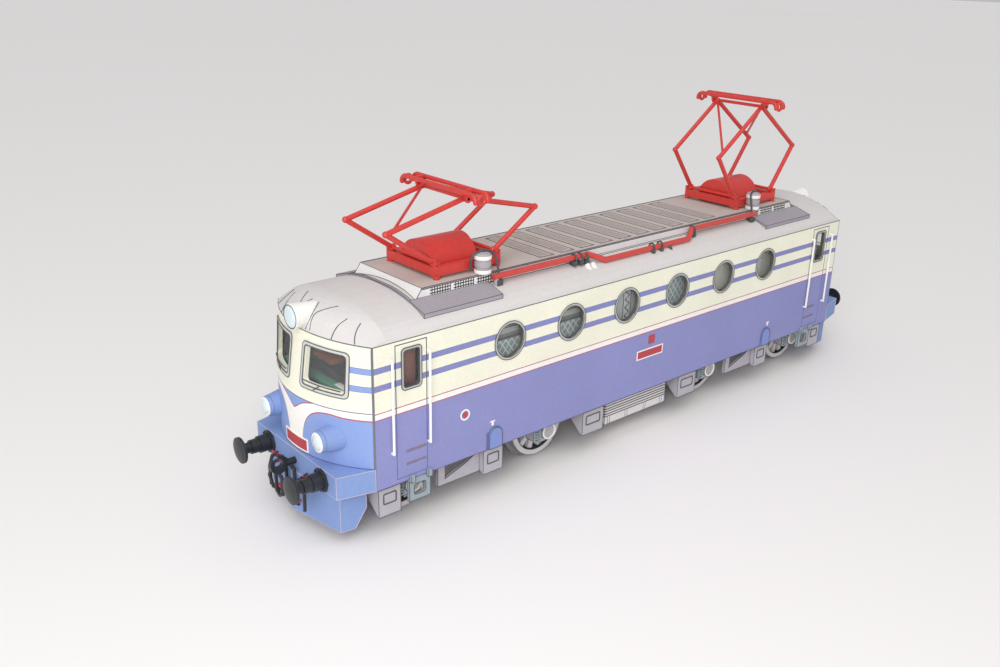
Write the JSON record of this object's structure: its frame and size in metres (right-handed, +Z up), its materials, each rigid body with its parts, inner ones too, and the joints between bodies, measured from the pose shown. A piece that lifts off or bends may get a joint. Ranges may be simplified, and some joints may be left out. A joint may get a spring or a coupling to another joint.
{
  "type": "card scale model of an electric locomotive",
  "caption": "Card model of a blue and cream electric locomotive with turning wheels, swivelling bogies and folding diamond pantographs.",
  "frame": {"origin": "under the middle of the locomotive, level with the lowest points of the wheel flanges", "axes": "+X forward, along the locomotive; +Y to its left; +Z up"},
  "size_m": [0.1808, 0.0358, 0.074],
  "materials": {
    "cream_card": "printed matt card",
    "roof_card": "printed matt card",
    "blue_card": "printed matt card",
    "grey_card": "printed matt card",
    "walkway_card": "printed matt card",
    "white_card": "printed matt card",
    "interior_card": "printed matt card",
    "screen_card": "printed matt card",
    "black_paint": "satin",
    "red_paint": "satin",
    "white_wire": "satin",
    "black_hose": "matt",
    "clear_film": "clear"
  },
  "bodies": {
    "body": {"floor": "grey_card", "left_side_wall": "cream_card", "right_side_wall": "cream_card", "front_end_wall": "cream_card", "rear_end_wall": "cream_card", "roof": "roof_card", "roof_hatch": "roof_card", "roof_walkways": "walkway_card", "busbar": "red_paint", "roof_insulators": "grey_card", "front_headstock": "blue_card", "rear_headstock": "blue_card", "front_buffers": "black_paint", "rear_buffers": "black_paint", "front_coupling": "black_paint", "rear_coupling": "black_paint", "front_snowplow": "blue_card", "rear_snowplow": "blue_card", "front_brake_hoses": "black_hose", "rear_brake_hoses": "black_hose", "battery_boxes": "grey_card", "cab_steps": "grey_card", "handrails": "white_wire", "pivot_covers": "blue_card", "front_windscreens": "clear_film", "rear_windscreens": "clear_film", "side_window_panes": "clear_film", "front_headlights": "blue_card", "rear_headlights": "blue_card", "front_roof_lamp": "white_card", "rear_roof_lamp": "white_card", "front_cab_interior": "interior_card", "rear_cab_interior": "interior_card", "machine_room_screens": "screen_card", "front_pantograph_base": "red_paint", "rear_pantograph_base": "red_paint"},
    "front_bogie": {"front_bogie_frame": "grey_card", "front_bogie_axleboxes": "grey_card", "front_bogie_side_bearers": "grey_card", "front_bogie_sandboxes": "grey_card"},
    "rear_bogie": {"rear_bogie_frame": "grey_card", "rear_bogie_axleboxes": "grey_card", "rear_bogie_side_bearers": "grey_card", "rear_bogie_sandboxes": "grey_card"},
    "wheelset_1": {"wheelset_1": "grey_card"},
    "wheelset_2": {"wheelset_2": "grey_card"},
    "wheelset_3": {"wheelset_3": "grey_card"},
    "wheelset_4": {"wheelset_4": "grey_card"},
    "front_pantograph_lower_front": {"front_pantograph_lower_front": "red_paint"},
    "front_pantograph_lower_rear": {"front_pantograph_lower_rear": "red_paint"},
    "front_pantograph_upper_front": {"front_pantograph_upper_front": "red_paint"},
    "front_pantograph_upper_rear": {"front_pantograph_upper_rear": "red_paint"},
    "front_pantograph_head": {"front_pantograph_head": "red_paint"},
    "rear_pantograph_lower_front": {"rear_pantograph_lower_front": "red_paint"},
    "rear_pantograph_lower_rear": {"rear_pantograph_lower_rear": "red_paint"},
    "rear_pantograph_upper_front": {"rear_pantograph_upper_front": "red_paint"},
    "rear_pantograph_upper_rear": {"rear_pantograph_upper_rear": "red_paint"},
    "rear_pantograph_head": {"rear_pantograph_head": "red_paint"}
  },
  "joints": [
    {"name": "front_bogie_swivel", "type": "hinge", "parent": "body", "child": "front_bogie", "pos_m": [0.0466, 0, 0.0189], "axis": [0, 0, 1], "range_deg": [-2.5, 2.5]},
    {"name": "rear_bogie_swivel", "type": "hinge", "parent": "body", "child": "rear_bogie", "pos_m": [-0.0466, 0, 0.0189], "axis": [0, 0, 1], "range_deg": [-2.5, 2.5]},
    {"name": "axle_1_spin", "type": "hinge", "parent": "front_bogie", "child": "wheelset_1", "pos_m": [0.065, 0, 0.0081], "axis": [0, 1, 0], "continuous": true},
    {"name": "axle_2_spin", "type": "hinge", "parent": "front_bogie", "child": "wheelset_2", "pos_m": [0.0282, 0, 0.0081], "axis": [0, 1, 0], "continuous": true},
    {"name": "axle_3_spin", "type": "hinge", "parent": "rear_bogie", "child": "wheelset_3", "pos_m": [-0.0282, 0, 0.0081], "axis": [0, 1, 0], "continuous": true},
    {"name": "axle_4_spin", "type": "hinge", "parent": "rear_bogie", "child": "wheelset_4", "pos_m": [-0.065, 0, 0.0081], "axis": [0, 1, 0], "continuous": true},
    {"name": "front_pantograph_lift", "type": "hinge", "parent": "body", "child": "front_pantograph_lower_front", "pos_m": [0.0546, 0, 0.05], "axis": [0, -1, 0], "range_deg": [-2.5, 19]},
    {"name": "front_pantograph_rear_lift", "type": "hinge", "parent": "body", "child": "front_pantograph_lower_rear", "pos_m": [0.0392, 0, 0.05], "axis": [0, 1, 0], "range_deg": [-3, 19.5]},
    {"name": "front_pantograph_front_knuckle", "type": "hinge", "parent": "front_pantograph_lower_front", "child": "front_pantograph_upper_front", "pos_m": [0.0656, 0, 0.05748], "axis": [0, 1, 0], "range_deg": [-6.02, 42.45]},
    {"name": "front_pantograph_rear_knuckle", "type": "hinge", "parent": "front_pantograph_lower_rear", "child": "front_pantograph_upper_rear", "pos_m": [0.0282, 0, 0.05748], "axis": [0, -1, 0], "range_deg": [-6.02, 42.45]},
    {"name": "front_pantograph_head_pivot", "type": "hinge", "parent": "front_pantograph_upper_front", "child": "front_pantograph_head", "pos_m": [0.0469, 0, 0.06183], "axis": [0, -1, 0], "range_deg": [-3.52, 23.45]},
    {"name": "rear_pantograph_lift", "type": "hinge", "parent": "body", "child": "rear_pantograph_lower_front", "pos_m": [-0.0406, 0, 0.05], "axis": [0, -1, 0], "range_deg": [-19, 4]},
    {"name": "rear_pantograph_rear_lift", "type": "hinge", "parent": "body", "child": "rear_pantograph_lower_rear", "pos_m": [-0.056, 0, 0.05], "axis": [0, 1, 0], "range_deg": [-19.5, 4.5]},
    {"name": "rear_pantograph_front_knuckle", "type": "hinge", "parent": "rear_pantograph_lower_front", "child": "rear_pantograph_upper_front", "pos_m": [-0.03275, 0, 0.06073], "axis": [0, 1, 0], "range_deg": [-39.93, 8.8]},
    {"name": "rear_pantograph_rear_knuckle", "type": "hinge", "parent": "rear_pantograph_lower_rear", "child": "rear_pantograph_upper_rear", "pos_m": [-0.06385, 0, 0.06073], "axis": [0, -1, 0], "range_deg": [-39.93, 8.8]},
    {"name": "rear_pantograph_head_pivot", "type": "hinge", "parent": "rear_pantograph_upper_front", "child": "rear_pantograph_head", "pos_m": [-0.0483, 0, 0.07199], "axis": [0, -1, 0], "range_deg": [-20.92, 4.8]}
  ],
  "couplings": [
    {"joint": "front_pantograph_rear_lift", "follows": "front_pantograph_lift", "ratio": 1},
    {"joint": "front_pantograph_front_knuckle", "follows": "front_pantograph_lift", "ratio": 2.208},
    {"joint": "front_pantograph_rear_knuckle", "follows": "front_pantograph_lift", "ratio": 2.208},
    {"joint": "front_pantograph_head_pivot", "follows": "front_pantograph_lift", "ratio": 1.208},
    {"joint": "rear_pantograph_rear_lift", "follows": "rear_pantograph_lift", "ratio": 1},
    {"joint": "rear_pantograph_front_knuckle", "follows": "rear_pantograph_lift", "ratio": 2.075},
    {"joint": "rear_pantograph_rear_knuckle", "follows": "rear_pantograph_lift", "ratio": 2.075},
    {"joint": "rear_pantograph_head_pivot", "follows": "rear_pantograph_lift", "ratio": 1.075}
  ]
}
